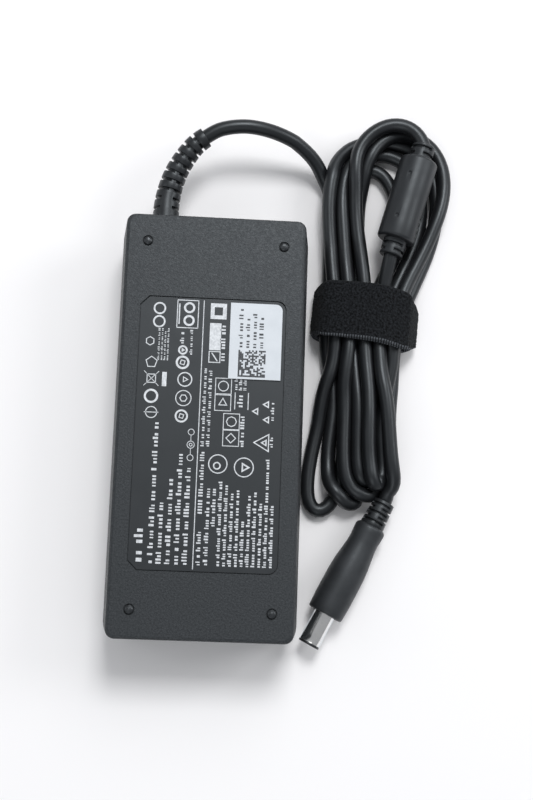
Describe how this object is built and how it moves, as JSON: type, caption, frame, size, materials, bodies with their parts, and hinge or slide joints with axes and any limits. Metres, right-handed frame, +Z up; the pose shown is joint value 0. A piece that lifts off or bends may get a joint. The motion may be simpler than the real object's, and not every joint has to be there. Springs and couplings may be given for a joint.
{
  "type": "laptop power adapter",
  "caption": "Black rectangular desktop power supply with an appliance inlet at one end and, at the other, a folded DC cord with a strap, a ferrite choke and a barrel plug.",
  "frame": {"origin": "centre of the case's underside, which is the plain side opposite the label", "axes": "+Z up through the label side, +Y along the case towards the end the DC cord leaves, +X across it towards the folded cord"},
  "size_m": [0.1169, 0.1926, 0.0309],
  "materials": {
    "case_plastic": "fine-textured matte moulding",
    "label_film": "satin printed film",
    "sticker_film": "satin printed film",
    "moulding": "smooth moulding",
    "plated_metal": "nickel plate",
    "overmould": "satin moulded elastomer",
    "cord_jacket": "satin extruded jacket",
    "strap_fabric": "napped loop tape",
    "ferrite": "sintered",
    "black_moulding": "semi-matte epoxy",
    "board": "solder-masked laminate",
    "tape": "polyester tape",
    "copper": "enamelled wire",
    "sheet_aluminium": "mill finish",
    "sleeve": "shrink sleeve",
    "yellow_case": "moulded box",
    "ceramic": "glazed tube",
    "lacquer": "dipped lacquer"
  },
  "bodies": {
    "root": {"label_side_cover": "case_plastic", "plain_side_cover": "case_plastic", "foot_1": "case_plastic", "foot_2": "case_plastic", "foot_3": "case_plastic", "foot_4": "case_plastic", "rating_label": "label_film", "code_sticker": "sticker_film", "inlet_socket": "moulding", "inlet_pin_line": "plated_metal", "inlet_pin_neutral": "plated_metal", "inlet_pin_earth": "plated_metal", "plug_barrel": "plated_metal", "plug_centre_pin": "plated_metal", "strain_relief": "overmould", "choke_overmould": "overmould", "plug_boot": "overmould", "plug_relief": "overmould", "cord_lead": "cord_jacket", "cord_loop": "cord_jacket", "cord_tail": "cord_jacket", "cord_hank": "cord_jacket", "cord_strap": "strap_fabric", "choke_ferrite": "ferrite", "transformer_core": "ferrite", "plug_lining": "black_moulding", "bridge_rectifier": "black_moulding", "switching_transistor": "black_moulding", "output_rectifier": "black_moulding", "feedback_coupler": "black_moulding", "control_chip": "black_moulding", "circuit_board": "board", "transformer_winding": "tape", "safety_barrier": "tape", "filter_choke": "copper", "output_inductor": "copper", "dc_lead_positive": "copper", "primary_heatsink": "sheet_aluminium", "secondary_heatsink": "sheet_aluminium", "upper_heat_spreader": "sheet_aluminium", "lower_heat_spreader": "sheet_aluminium", "bulk_capacitor": "sleeve", "output_capacitor_1": "sleeve", "output_capacitor_2": "sleeve", "inlet_wire_line": "sleeve", "inlet_wire_neutral": "sleeve", "inlet_wire_earth": "sleeve", "dc_lead_negative": "sleeve", "x_capacitor": "yellow_case", "dc_lead_sense": "yellow_case", "fuse": "ceramic", "thermistor": "lacquer", "y_capacitor": "lacquer"}
  },
  "joints": []
}
